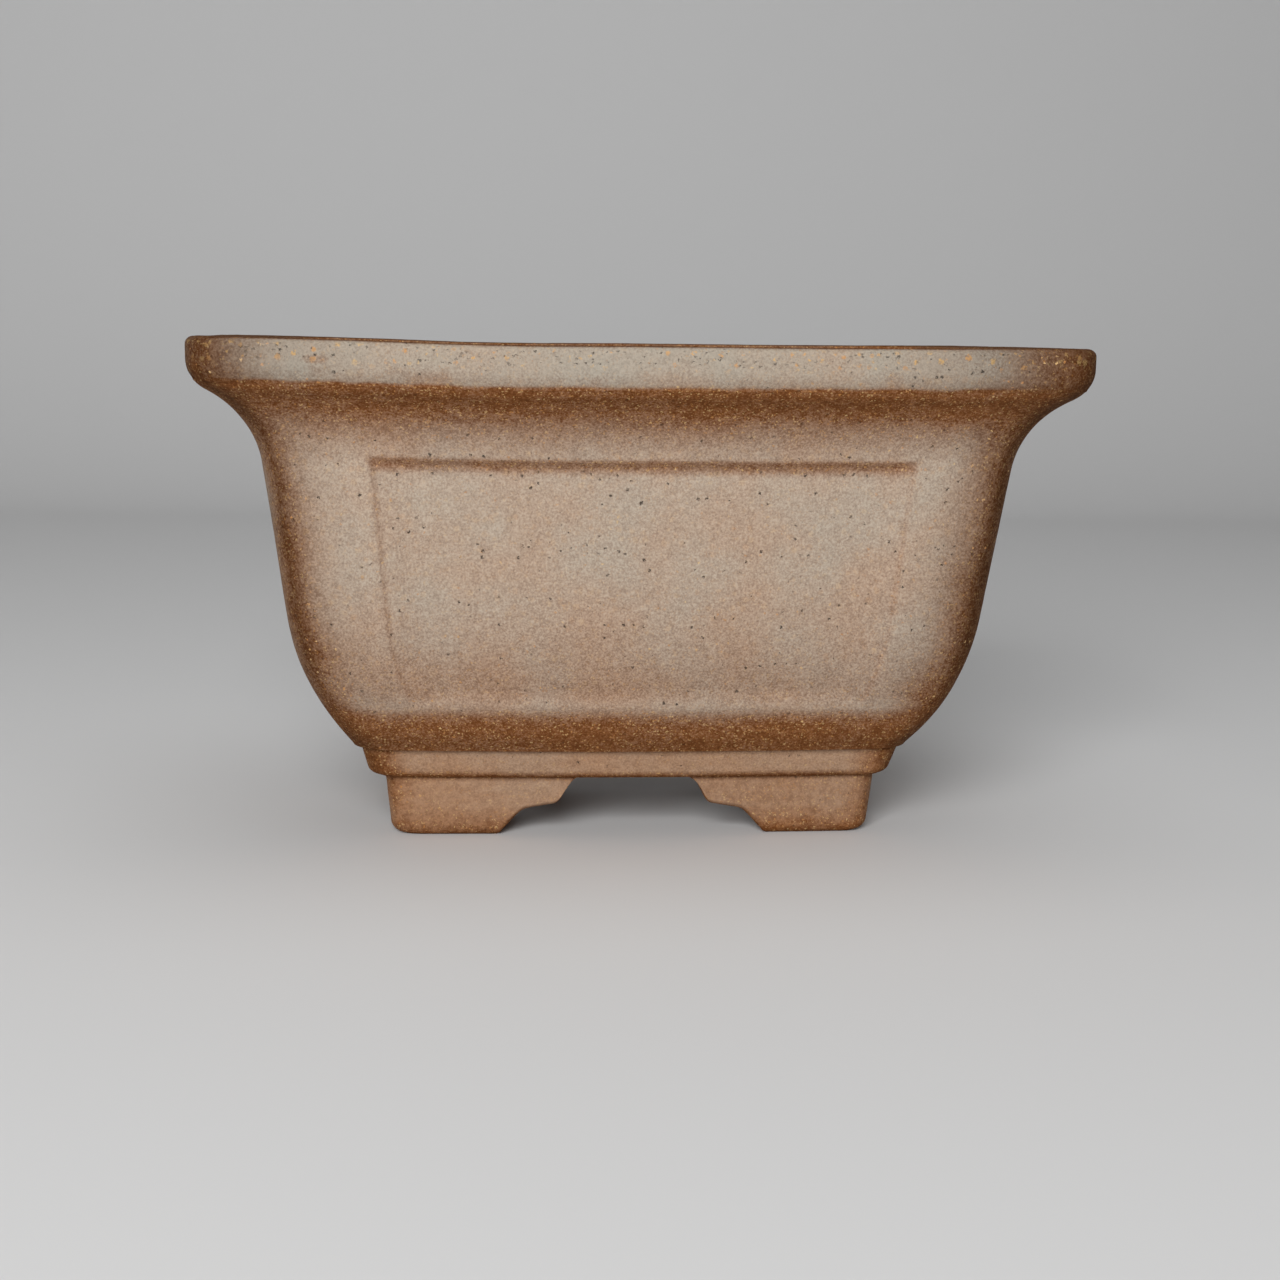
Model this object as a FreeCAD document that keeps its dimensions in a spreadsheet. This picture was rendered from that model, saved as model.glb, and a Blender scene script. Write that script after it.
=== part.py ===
import FreeCAD, Part
import math
import os
import Sketcher
from FreeCAD import Placement, Rotation, Vector

# Deep rectangular bonsai pot of unglazed stoneware, built from slabs of clay: a floor slab, four
# leaning walls with sunk panels, a rim of four strips, a foot band of four strips and four corner
# bracket feet. Strips and walls meet in mitred corners. Millimetres, +Z up. The origin is at the
# bottom centre, under the middle of the four feet; the front is the -Y side.

DIMENSIONS = (
    ("rim_length", 302.0, "overall length, across the middle of the short rims"),
    ("rim_width", 211.0, "overall width, across the middle of the long rims"),
    ("pot_height", 177.4, "soles of the feet to the top of the rim"),
    ("bow_radius", 2300.0, "every side is bowed slightly outward to this radius in plan"),
    ("rim_seat", 162.9, "height of the joint between rim and walls"),
    ("band_top", 35.0, "height of the joint between walls and foot band"),
    ("foot_top", 23.4, "height of the joint between foot band and feet"),
    ("body_corner", 14.0, "plan radius of the rim and wall corners"),
    ("cavity_corner", 10.0, "plan radius of the corners inside the pot"),
    ("band_corner", 8.0, "plan radius of the foot band and feet corners"),
    ("cove_centre", -9.3, "centre of the hollow under the rim, in from the rim face"),
    ("cove_height", 131.7, "height of that centre"),
    ("cove_radius", 31.8, "radius of the hollow under the rim"),
    ("belly_centre", 125.8, "centre of the rounded belly, in from the rim face"),
    ("belly_height", 97.1, "height of that centre"),
    ("belly_radius", 97.3, "radius of the rounded belly"),
    ("wall_thickness", 10.0, "walls, measured level"),
    ("mouth_inset", 27.0, "width of the flat top of the rim"),
    ("floor_thickness", 11.0, "floor slab"),
    ("floor_inset", 60.5, "edge of the floor slab, in from the rim face"),
    ("panel_top", 138.2, "upper edge of the sunk panels"),
    ("panel_bottom", 53.0, "lower edge of the sunk panels"),
    ("panel_margin_low", 34.0, "ends of the panels at the bottom, in from the corner of the wall"),
    ("panel_margin_high", 38.0, "ends of the panels at the top, in from the corner of the wall"),
    ("panel_depth", 2.2, "how far the panels are sunk"),
    ("rim_top_round", 2.5, "rounding of the rim's upper edges"),
    ("rim_low_round", 12.0, "rounding of the rim's lower edge, which runs on into the walls"),
    ("rim_face_bottom", 170.0, "height where that rounding leaves the rim's upright face"),
    ("band_inset", 53.6, "top of the foot band, in from the rim face"),
    ("band_draw", 3.4, "how much further in the band is at its lower edge"),
    ("band_depth", 20.0, "foot band, outside to inside"),
    ("band_round", 3.0, "rounding of the band's lower edge"),
    ("foot_inset", 61.4, "top of the feet, in from the rim face"),
    ("foot_draw", 2.4, "how much further in the feet are at the soles"),
    ("foot_depth", 12.0, "feet, outside to inside"),
    ("sole_round", 4.5, "rounding of the soles' outer edge"),
    ("long_gap", 20.0, "half the gap between two feet at the top, along the front"),
    ("short_gap", 8.0, "half the gap between two feet at the top, along a side"),
    ("bracket_long", 28.0, "how far a bracket reaches past its sole, along the front"),
    ("bracket_short", 13.0, "how far a bracket reaches past its sole, along a side"),
    ("bracket_round", 5.0, "rounding of the bends in a bracket's outline"),
    ("drain_radius", 13.0, "two drainage holes"),
    ("drain_spacing", 100.0, "between the centres of the drainage holes"),
    ("wire_radius", 2.5, "four holes for the wires that tie the tree in"),
    ("wire_spacing_x", 140.0, "tie wire holes, along the pot"),
    ("wire_spacing_y", 48.0, "tie wire holes, across the pot"),
)

doc = FreeCAD.newDocument("bonsai_pot")


def fill_sheet():
    """One row for each driving dimension: name, value, meaning."""
    sheet = doc.addObject("Spreadsheet::Sheet", "Sheet")
    for row, (alias, value, meaning) in enumerate(DIMENSIONS, start=1):
        sheet.set(f"A{row}", alias)
        sheet.set(f"B{row}", str(value))
        sheet.setAlias(f"B{row}", alias)
        sheet.set(f"C{row}", meaning)
    doc.recompute()
    return sheet


SHEET = fill_sheet()


def size(expression):
    """The present value of an expression of sheet cells, in millimetres."""
    return float(SHEET.evalExpression(expression))


# ---- sketches -------------------------------------------------------------------------------


def origin_plane(body, role):
    for feature in body.Origin.OriginFeatures:
        if feature.Role == role:
            return feature
    raise ValueError(role)


def new_sketch(body, name, role="XY_Plane", level=None):
    """An empty sketch on one of the body's origin planes, raised to a height along its normal."""
    sketch = body.newObject("Sketcher::SketchObject", name)
    sketch.AttachmentSupport = [(origin_plane(body, role), "")]
    sketch.MapMode = "FlatFace"
    if level:
        sketch.setExpression("AttachmentOffset.Base.z", level)
    return sketch


def bind(sketch, constraint, name, expression):
    """Adds one dimension to the sketch and ties it to the sheet."""
    index = sketch.addConstraint(constraint)
    sketch.renameConstraint(index, name)
    sketch.setExpression("Constraints." + name, expression)


def corner_centre(half_length, half_width, corner, bow):
    """Centre of the corner arc that touches a bowed long side and a bowed short side."""
    long_side = Vector(0, half_width - bow, 0)
    short_side = Vector(half_length - bow, 0, 0)
    middle = (long_side + short_side) / 2
    along = (long_side - short_side) / 2
    reach = math.sqrt((bow - corner) ** 2 - along.Length ** 2)
    normal = Vector(-along.y, along.x, 0).normalize()
    if normal.x < 0:
        normal = -normal
    return middle + normal * reach


def arc_between(sketch, centre, start, end):
    """Anticlockwise arc about a centre."""
    first = math.atan2(start.y - centre.y, start.x - centre.x)
    last = math.atan2(end.y - centre.y, end.x - centre.x)
    circle = Part.Circle(centre, Vector(0, 0, 1), (start - centre).Length)
    return sketch.addGeometry(Part.ArcOfCircle(circle, first, last))


def bowed_rectangle(sketch, half_length, half_width, corner):
    """Plan outline of the pot: four bowed sides joined by four tangent corner arcs."""
    a, b, r, bow = size(half_length), size(half_width), size(corner), size("Sheet.bow_radius")
    right, back = Vector(a - bow, 0, 0), Vector(0, b - bow, 0)
    corner_at = corner_centre(a, b, r, bow)
    on_right = right + (corner_at - right).normalize() * bow
    on_back = back + (corner_at - back).normalize() * bow
    arcs = []
    for turn in range(4):
        flip = Vector((1, -1, -1, 1)[turn], (1, 1, -1, -1)[turn], 0)

        def place(point, flip=flip):
            return Vector(point.x * flip.x, point.y * flip.y, 0)

        first, last = (on_right, on_back) if turn % 2 == 0 else (on_back, on_right)
        arcs.append(arc_between(sketch, place(corner_at), place(first), place(last)))
        if turn % 2 == 0:
            mirrored = Vector(-on_back.x * flip.x, on_back.y * flip.y, 0)
            arcs.append(arc_between(sketch, place(back), place(on_back), mirrored))
        else:
            mirrored = Vector(on_right.x * flip.x, -on_right.y * flip.y, 0)
            arcs.append(arc_between(sketch, place(right), place(on_right), mirrored))
    for index, arc in enumerate(arcs):
        sketch.addConstraint(Sketcher.Constraint("Tangent", arc, 2, arcs[(index + 1) % 8], 1))
    corners, sides = arcs[0::2], arcs[1::2]
    for group in (corners, sides):
        for arc in group[1:]:
            sketch.addConstraint(Sketcher.Constraint("Equal", group[0], arc))
    bind(sketch, Sketcher.Constraint("Radius", corners[0], r), "corner", corner)
    bind(sketch, Sketcher.Constraint("Radius", sides[0], bow), "bow", "Sheet.bow_radius")
    back_side, left_side, front_side, right_side = sides
    sketch.addConstraint(Sketcher.Constraint("PointOnObject", back_side, 3, -2))
    sketch.addConstraint(Sketcher.Constraint("PointOnObject", right_side, 3, -1))
    spans = (("back", "DistanceY", back_side, front_side, b, half_width),
             ("right", "DistanceX", right_side, left_side, a, half_length))
    for name, kind, first, second, half, expression in spans:
        sketch.addConstraint(Sketcher.Constraint("Symmetric", first, 3, second, 3, -1, 1))
        span = Sketcher.Constraint(kind, first, 3, second, 3, 2 * (bow - half))
        bind(sketch, span, name, f"2 * (Sheet.bow_radius - ({expression}))")


def inset_outline(body, name, inset, level, corner):
    """Bowed rectangle a given distance in from the rim face, at a given height."""
    sketch = new_sketch(body, name, level=level)
    half_length = f"Sheet.rim_length / 2 - ({inset})"
    half_width = f"Sheet.rim_width / 2 - ({inset})"
    bowed_rectangle(sketch, half_length, half_width, corner)
    return sketch


# ---- the pot's profile: each station gives (inset from the rim face, height) -----------------


def cove_station(angle):
    """A point of the hollow under the rim; 0 degrees is level with its centre."""
    inset = f"Sheet.cove_centre + Sheet.cove_radius * cos({angle})"
    height = f"Sheet.cove_height + Sheet.cove_radius * sin({angle})"
    return inset, height


def belly_station(angle):
    """A point of the rounded belly; 0 degrees is level with its centre, 90 is underneath."""
    inset = f"Sheet.belly_centre - Sheet.belly_radius * cos({angle})"
    height = f"Sheet.belly_height - Sheet.belly_radius * sin({angle})"
    return inset, height


def belly_at(height):
    """The belly's inset at a given height."""
    drop = f"(Sheet.belly_height - {height})"
    return f"Sheet.belly_centre - sqrt(Sheet.belly_radius ^ 2 - {drop} ^ 2)"


def between(first, second, share):
    """A point part of the way along the straight stretch between two stations."""
    return tuple(f"({one}) * {1 - share} + ({two}) * {share}" for one, two in zip(first, second))


def lip_at(height):
    """The inset of the rim's rounded lower edge at a given height."""
    drop = f"(Sheet.rim_face_bottom - {height})"
    return f"Sheet.rim_low_round - sqrt(Sheet.rim_low_round ^ 2 - {drop} ^ 2)"


BELLY_START = 7.8
COVE_START = 8
WALL_OUTSIDE = (
    [(belly_at("Sheet.band_top"), "Sheet.band_top")]
    + [belly_station(angle) for angle in (34, 25, 16, BELLY_START)]
    + [between(belly_station(BELLY_START), cove_station(COVE_START), share) for share in (0.35, 0.7)]
    + [cove_station(angle) for angle in (COVE_START, 24, 38, 50, 61)]
    + [(lip_at(height), height) for height in ("(Sheet.rim_seat - 1.6)", "Sheet.rim_seat")]
)


def deeper(stations, depth):
    """The same stations moved further in from the rim face."""
    return [(f"{inset} + {depth}", height) for inset, height in stations]


FLOOR_LEVEL = "(Sheet.band_top + Sheet.floor_thickness)"
CAVITY = (
    deeper([(belly_at(FLOOR_LEVEL), FLOOR_LEVEL)], "Sheet.wall_thickness")
    + deeper(WALL_OUTSIDE[2:8], "Sheet.wall_thickness")
    + [("Sheet.mouth_inset", "Sheet.rim_seat")]
)


# ---- forms that the pieces are cut from ------------------------------------------------------


def loft_body(name, stations, corner):
    """Solid lofted through bowed rectangles, one for each station."""
    body = doc.addObject("PartDesign::Body", name)
    sections = []
    for index, (inset, height) in enumerate(stations):
        sections.append(inset_outline(body, f"{name}_section_{index}", inset, height, corner))
    doc.recompute()
    loft = body.newObject("PartDesign::AdditiveLoft", name + "_loft")
    loft.Profile = sections[0]
    loft.Sections = sections[1:]
    doc.recompute()
    return body


def add_pad(body, sketch, length):
    pad = body.newObject("PartDesign::Pad", sketch.Name + "_pad")
    pad.Profile = sketch
    pad.setExpression("Length", length)
    doc.recompute()
    return pad


def add_pocket(body, sketch, length):
    """Cuts downward from the sketch and makes sure that something was cut."""
    before = body.Shape.Volume
    pocket = body.newObject("PartDesign::Pocket", sketch.Name + "_pocket")
    pocket.Profile = sketch
    pocket.setExpression("Length", length)
    doc.recompute()
    if body.Shape.Volume > before - 1:
        raise ValueError(pocket.Name + " cuts nothing")
    return pocket


def add_fillet(body, feature, radius, chosen):
    """Rounds the feature's edges that the test picks out."""
    edges = enumerate(feature.Shape.Edges, start=1)
    names = [f"Edge{number}" for number, edge in edges if chosen(edge)]
    fillet = body.newObject("PartDesign::Fillet", body.Name + "_round_" + str(len(body.Group)))
    fillet.Base = (feature, names)
    fillet.setExpression("Radius", radius)
    doc.recompute()
    return fillet


def level_edges(level, inset):
    """Test for the level edges at a height that belong to the outline with that inset."""
    height = size(level)
    half_length = size("Sheet.rim_length / 2") - size(inset)
    half_width = size("Sheet.rim_width / 2") - size(inset)

    def chosen(edge):
        centre = edge.CenterOfMass
        level_edge = edge.BoundBox.ZLength < 0.01 and abs(centre.z - height) < 0.01
        beyond = max(abs(centre.x) - half_length, abs(centre.y) - half_width)
        return level_edge and abs(beyond) < size("Sheet.body_corner") / 2

    return chosen


def ring_body(name, outline, opening, low, high):
    """Straight-sided ring between two heights; both outlines are (inset, corner radius)."""
    body = doc.addObject("PartDesign::Body", name)
    outside = inset_outline(body, name + "_outline", outline[0], low, outline[1])
    add_pad(body, outside, f"{high} - {low}")
    inside = inset_outline(body, name + "_opening", opening[0], high, opening[1])
    add_pocket(body, inside, f"{high} - {low}")
    return body


def wedge(name, near, offset, turn):
    """Upright block whose slanting sides are the mitre planes of one side of the pot."""
    block = doc.addObject("Part::Wedge", name)
    far = "Sheet.rim_length"
    block.setExpression("Ymin", near)
    block.setExpression("Ymax", far)
    for side, sign in (("Xmin", "-1"), ("Xmax", "1")):
        block.setExpression(side, f"{sign} * ({near} + {offset})")
        block.setExpression(side.replace("X", "X2"), f"{sign} * ({far} + {offset})")
    for bottom in ("Zmin", "Z2min"):
        block.setExpression(bottom, "-1")
    for top in ("Zmax", "Z2max"):
        block.setExpression(top, "Sheet.pot_height + 1")
    block.Placement = Placement(Vector(), Rotation(Vector(0, 0, 1), turn))
    return block


def combine(kind, name, first, second):
    """Part::Cut or Part::Common of two objects."""
    result = doc.addObject(kind, name)
    result.Base = first
    result.Tool = second
    doc.recompute()
    return result


# ---- floor -----------------------------------------------------------------------------------


def add_hole(sketch, name, radius, along, across=None):
    """Round hole; a hole with no distance across lies on the long centre line."""
    centre = Vector(size(along), size(across) if across else 0, 0)
    circle = sketch.addGeometry(Part.Circle(centre, Vector(0, 0, 1), size(radius)))
    bind(sketch, Sketcher.Constraint("Radius", circle, size(radius)), name + "_radius", radius)
    from_middle = Sketcher.Constraint("DistanceX", -1, 1, circle, 3, centre.x)
    bind(sketch, from_middle, name + "_along", along)
    if across:
        from_line = Sketcher.Constraint("DistanceY", -1, 1, circle, 3, centre.y)
        bind(sketch, from_line, name + "_across", across)
    else:
        sketch.addConstraint(Sketcher.Constraint("PointOnObject", circle, 3, -1))


def make_floor():
    """Floor slab with two drainage holes and four small holes for tie wires."""
    body = doc.addObject("PartDesign::Body", "floor_slab")
    outline = inset_outline(body, "floor_outline", "Sheet.floor_inset", "Sheet.band_top",
                            "Sheet.cavity_corner")
    add_pad(body, outline, "Sheet.floor_thickness")
    holes = new_sketch(body, "floor_holes", level=FLOOR_LEVEL)
    for side, sign in (("left", "-1"), ("right", "1")):
        add_hole(holes, f"drain_{side}", "Sheet.drain_radius", f"{sign} * Sheet.drain_spacing / 2")
        for row, across in (("front", "-1"), ("back", "1")):
            add_hole(holes, f"wire_{row}_{side}", "Sheet.wire_radius",
                     f"{sign} * Sheet.wire_spacing_x / 2", f"{across} * Sheet.wire_spacing_y / 2")
    add_pocket(body, holes, "Sheet.floor_thickness")
    return body


# ---- rings that the strips and walls are cut from --------------------------------------------


def make_rim_ring():
    """Upright rim face, flat top, rounded edges; cut off level at the joint with the walls."""
    outline = ("0", "Sheet.body_corner")
    opening = ("Sheet.mouth_inset", "Sheet.cavity_corner")
    foot_of_round = "(Sheet.rim_face_bottom - Sheet.rim_low_round)"
    body = ring_body("rim_ring", outline, opening, foot_of_round, "Sheet.pot_height")
    for inset in ("0", "Sheet.mouth_inset"):
        upper = level_edges("Sheet.pot_height", inset)
        add_fillet(body, body.Tip, "Sheet.rim_top_round", upper)
    lower = level_edges(foot_of_round, "0")
    add_fillet(body, body.Tip, "Sheet.rim_low_round", lower)
    zone = level_zone("rim_zone", "Sheet.rim_seat", "Sheet.pot_height + 1")
    return combine("Part::Common", "rim_above_seat", body, zone)


def panel_margin(height):
    """The panels' ends at a height, in from the corner of the wall."""
    share = f"({height} - Sheet.panel_bottom) / (Sheet.panel_top - Sheet.panel_bottom)"
    spread = "(Sheet.panel_margin_high - Sheet.panel_margin_low)"
    return f"Sheet.panel_margin_low + {spread} * {share}"


def panel_window(name, direction, zone):
    """Block right through the pot, as wide as the panels on two opposite walls."""
    body = doc.addObject("PartDesign::Body", f"{name}_window")
    across = "width" if direction == "length" else "length"
    sections = []
    for index, (inset, height) in enumerate(WALL_OUTSIDE[:9]):
        sketch = new_sketch(body, f"{name}_window_section_{index}", level=height)
        halves = {direction: f"Sheet.rim_{direction} / 2 - ({inset} + {panel_margin(height)})",
                  across: f"Sheet.rim_{across} / 2"}
        bowed_rectangle(sketch, halves["length"], halves["width"], "Sheet.panel_depth")
        sections.append(sketch)
    doc.recompute()
    loft = body.newObject("PartDesign::AdditiveLoft", f"{name}_window_loft")
    loft.Profile = sections[0]
    loft.Sections = sections[1:]
    return combine("Part::Common", f"{name}_window_in_zone", body, zone)


def level_zone(name, low, high):
    """Everything between two heights."""
    box = doc.addObject("Part::Box", name)
    box.setExpression("Length", "2 * Sheet.rim_length")
    box.setExpression("Width", "2 * Sheet.rim_length")
    box.setExpression("Height", f"{high} - {low}")
    box.setExpression("Placement.Base.x", "-Sheet.rim_length")
    box.setExpression("Placement.Base.y", "-Sheet.rim_length")
    box.setExpression("Placement.Base.z", low)
    return box


def make_wall_ring():
    """Hollow under the rim, straight leaning stretch and rounded belly, with sunk panels."""
    outside = loft_body("wall_outside", WALL_OUTSIDE, "Sheet.body_corner")
    panel_face = loft_body("panel_face", deeper(WALL_OUTSIDE, "Sheet.panel_depth"),
                           "Sheet.body_corner")
    cavity = loft_body("cavity", CAVITY, "Sheet.cavity_corner")
    floor_space = doc.addObject("PartDesign::Body", "floor_space")
    outline = inset_outline(floor_space, "floor_space_outline", "Sheet.floor_inset",
                            "Sheet.band_top", "Sheet.cavity_corner")
    add_pad(floor_space, outline, "Sheet.floor_thickness")
    ring = combine("Part::Cut", "wall_less_cavity", outside, cavity)
    ring = combine("Part::Cut", "wall_less_floor", ring, floor_space)
    zone = level_zone("panel_zone", "Sheet.panel_bottom", "Sheet.panel_top")
    for name, direction in (("long", "length"), ("short", "width")):
        window = panel_window(name, direction, zone)
        sunk = combine("Part::Cut", f"{name}_panel_recess", window, panel_face)
        ring = combine("Part::Cut", f"wall_with_{name}_panels", ring, sunk)
    return ring


def drawn_ring(kind, low, high, rounding):
    """Ring with the size cells of one kind; its outside draws in downward to a rounded edge."""
    top = f"Sheet.{kind}_inset"
    bottom = f"{top} + Sheet.{kind}_draw"
    body = loft_body(kind + "_ring", [(bottom, low), (top, high)], "Sheet.band_corner")
    inside = inset_outline(body, kind + "_ring_opening", f"{top} + Sheet.{kind}_depth", high,
                           "Sheet.band_corner / 2")
    add_pocket(body, inside, f"{high} - {low}")
    add_fillet(body, body.Tip, rounding, level_edges(low, bottom))
    return body


def make_band_ring():
    return drawn_ring("band", "Sheet.foot_top", "Sheet.band_top", "Sheet.band_round")


def make_foot_ring():
    """The ring that the four feet are what is left of."""
    ring = drawn_ring("foot", "0", "Sheet.foot_top", "Sheet.sole_round")
    for gap, role in (("long", "XZ_Plane"), ("short", "YZ_Plane")):
        opening = foot_gap(f"{gap}_gap", role, f"Sheet.{gap}_gap", f"Sheet.bracket_{gap}")
        ring = combine("Part::Cut", f"feet_with_{gap}_gaps", ring, opening)
    return ring


def foot_gap(name, role, half_gap, reach):
    """Block with the outline of the space between two bracket feet.

    From the sole a bracket slopes up and inward, runs nearly level, rises steeply and then eases
    into the foot band. The bends are rounded.
    """
    bends = (("0", "0"), ("0.29", "0.40"), ("0.77", "0.51"), ("0.88", "0.84"), ("1", "1"))
    right = [(f"{half_gap} + {reach} * (1 - {share})", f"Sheet.foot_top * {rise}")
             for share, rise in bends]
    left = [(f"-1 * ({across})", height) for across, height in reversed(right)]
    corners = right + left
    body = doc.addObject("PartDesign::Body", name)
    sketch = new_sketch(body, name + "_outline", role)
    points = [Vector(size(across), size(height), 0) for across, height in corners]
    lines = [sketch.addGeometry(Part.LineSegment(point, points[(index + 1) % len(points)]))
             for index, point in enumerate(points)]
    for index, line in enumerate(lines):
        following = lines[(index + 1) % len(lines)]
        sketch.addConstraint(Sketcher.Constraint("Coincident", line, 2, following, 1))
    for index, (line, (across, height)) in enumerate(zip(lines, corners)):
        point = points[index]
        aside = Sketcher.Constraint("DistanceX", -1, 1, line, 1, point.x)
        bind(sketch, aside, f"across_{index}", across)
        if height.endswith("* 0"):
            sketch.addConstraint(Sketcher.Constraint("PointOnObject", line, 1, -1))
        else:
            above = Sketcher.Constraint("DistanceY", -1, 1, line, 1, point.y)
            bind(sketch, above, f"height_{index}", height)
    pad = add_pad(body, sketch, "Sheet.rim_length")
    pad.Midplane = True
    doc.recompute()
    low, high = 0.1 * size("Sheet.foot_top"), 0.9 * size("Sheet.foot_top")

    def bend(edge):
        box = edge.BoundBox
        return box.ZLength < 0.01 and low < box.ZMin < high

    add_fillet(body, pad, "Sheet.bracket_round", bend)
    return body


# ---- the pieces ------------------------------------------------------------------------------


def make_pieces():
    """Cuts the rings at the mitre planes and the feet at the middle of each side."""
    mitre = "(Sheet.rim_length - Sheet.rim_width) / 2"
    sides = (("front", 180, "Sheet.foot_depth", mitre), ("back", 0, "Sheet.foot_depth", mitre),
             ("left", 90, mitre + " + Sheet.foot_depth", "-1 * " + mitre),
             ("right", -90, mitre + " + Sheet.foot_depth", "-1 * " + mitre))
    rings = (("wall", make_wall_ring()), ("rim", make_rim_ring()), ("band", make_band_ring()))
    pieces = [make_floor()]
    for side, turn, near, offset in sides:
        block = wedge(side + "_wedge", near, offset, turn)
        for kind, ring in rings:
            name = f"{side}_{kind}" if kind == "wall" else f"{kind}_{side}"
            pieces.append(combine("Part::Common", name, ring, block))
    feet = make_foot_ring()
    for row, across in (("front", "-Sheet.rim_length"), ("back", "0")):
        for side, along in (("left", "-Sheet.rim_length"), ("right", "0")):
            quarter = level_zone(f"{row}_{side}_quarter", "0", "Sheet.foot_top")
            quarter.setExpression("Length", "Sheet.rim_length")
            quarter.setExpression("Width", "Sheet.rim_length")
            quarter.setExpression("Placement.Base.x", along)
            quarter.setExpression("Placement.Base.y", across)
            pieces.append(combine("Part::Common", f"foot_{row}_{side}", feet, quarter))
    return pieces


def check(pieces):
    """Stops if anything failed to compute or a piece isn't one sound solid."""
    for item in doc.Objects:
        if "Invalid" in item.State or "Error" in item.State:
            raise ValueError(f"{item.Name} failed: {item.State}")
    for piece in pieces:
        shape = piece.Shape
        if shape.isNull() or not shape.isValid() or len(shape.Solids) != 1:
            raise ValueError(piece.Name + " isn't one valid solid")


def main():
    pieces = make_pieces()
    doc.recompute()
    check(pieces)
    os.makedirs("parts", exist_ok=True)
    for piece in pieces:
        piece.Label = piece.Name
        piece.Shape.exportStep(f"parts/{piece.Label}.step")
        print(f"{piece.Label}: {piece.Shape.Volume / 1000:.1f} cm3")


main()
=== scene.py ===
import math

import bpy
import numpy as np
from mathutils import Matrix, Vector


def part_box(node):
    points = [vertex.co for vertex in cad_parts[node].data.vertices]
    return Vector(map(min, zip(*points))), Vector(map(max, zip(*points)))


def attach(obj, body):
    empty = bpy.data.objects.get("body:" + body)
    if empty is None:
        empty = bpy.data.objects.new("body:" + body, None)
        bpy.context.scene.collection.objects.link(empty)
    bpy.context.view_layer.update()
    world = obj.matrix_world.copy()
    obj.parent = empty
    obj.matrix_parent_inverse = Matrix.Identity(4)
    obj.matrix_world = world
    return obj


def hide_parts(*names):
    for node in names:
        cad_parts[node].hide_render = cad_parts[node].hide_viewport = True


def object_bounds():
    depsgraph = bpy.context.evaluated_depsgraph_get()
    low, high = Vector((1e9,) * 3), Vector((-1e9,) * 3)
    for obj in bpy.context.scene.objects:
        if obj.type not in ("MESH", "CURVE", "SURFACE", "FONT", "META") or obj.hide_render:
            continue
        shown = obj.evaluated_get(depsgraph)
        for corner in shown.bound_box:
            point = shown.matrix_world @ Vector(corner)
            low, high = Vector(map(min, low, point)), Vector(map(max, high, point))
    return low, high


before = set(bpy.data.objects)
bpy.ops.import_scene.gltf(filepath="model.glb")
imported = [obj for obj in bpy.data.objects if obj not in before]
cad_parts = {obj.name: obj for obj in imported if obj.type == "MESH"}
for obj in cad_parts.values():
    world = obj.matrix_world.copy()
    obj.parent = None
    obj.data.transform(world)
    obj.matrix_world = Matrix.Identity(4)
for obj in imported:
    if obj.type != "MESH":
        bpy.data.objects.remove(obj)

CAD_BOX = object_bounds()

# The pot's own sizes, in metres, as the CAD model has them. Outlines are lists of (inset, height),
# where the inset is the distance in from the rim's face on any of the four sides.

MM = 0.001
RIM_HALF_LENGTH = (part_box("rim_right")[1].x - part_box("rim_left")[0].x) / 2
RIM_HALF_WIDTH = (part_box("rim_back")[1].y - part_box("rim_front")[0].y) / 2
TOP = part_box("rim_front")[1].z
RIM_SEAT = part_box("rim_front")[0].z
BAND_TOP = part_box("band_front")[1].z
FOOT_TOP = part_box("foot_front_left")[1].z
FLOOR_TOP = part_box("floor_slab")[1].z
BOW = 2300 * MM
BODY_CORNER = 14 * MM
BAND_CORNER = 8 * MM
WALL = 10 * MM
MOUTH = 27 * MM
BAND_INSET = 53.6 * MM
BAND_DRAW = 3.4 * MM
BAND_DEPTH = 20 * MM
FOOT_INSET = 61.4 * MM
FOOT_DRAW = 2.4 * MM
FOOT_DEPTH = 12 * MM
FLOOR_INSET = 60.5 * MM
RIM_EDGE = 3 * MM

# Levels where the pot stands or two pieces meet.

JOINTS = (0, FOOT_TOP, BAND_TOP, RIM_SEAT)

# Arcs of the outline: the centre's inset and height, and the radius. Angles are in degrees from
# the level through the centre.

LIP = (12 * MM, 170 * MM, 12 * MM)
LIP_JOINT = math.degrees(math.asin((LIP[1] - RIM_SEAT) / LIP[2]))
COVE = (-9.3 * MM, 131.7 * MM, 31.8 * MM)
COVE_FOOT = 8
COVE_HEAD = 61
BELLY = (125.8 * MM, 97.1 * MM, 97.3 * MM)
BELLY_FOOT = math.degrees(math.asin((BELLY[1] - BAND_TOP) / BELLY[2]))
BELLY_HEAD = 7.8


# ---- plan outline -----------------------------------------------------------------------------


def corner_of(a, b, r):
    """Corner arc of a bowed rectangle: centre x, y, and its start, middle and end directions."""
    reach_x, reach_y = (BOW - a) / 2, (BOW - b) / 2
    span = np.hypot(reach_x, reach_y)
    out = np.sqrt((BOW - r) ** 2 - span ** 2)
    cx = (a - BOW) / 2 + reach_y / span * out
    cy = (BOW - b) / 2 - reach_x / span * out
    start = np.arctan2(cy - (BOW - b), cx)
    end = np.arctan2(cy, cx - (a - BOW))
    return cx, cy, start, (start + end) / 2, end


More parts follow.
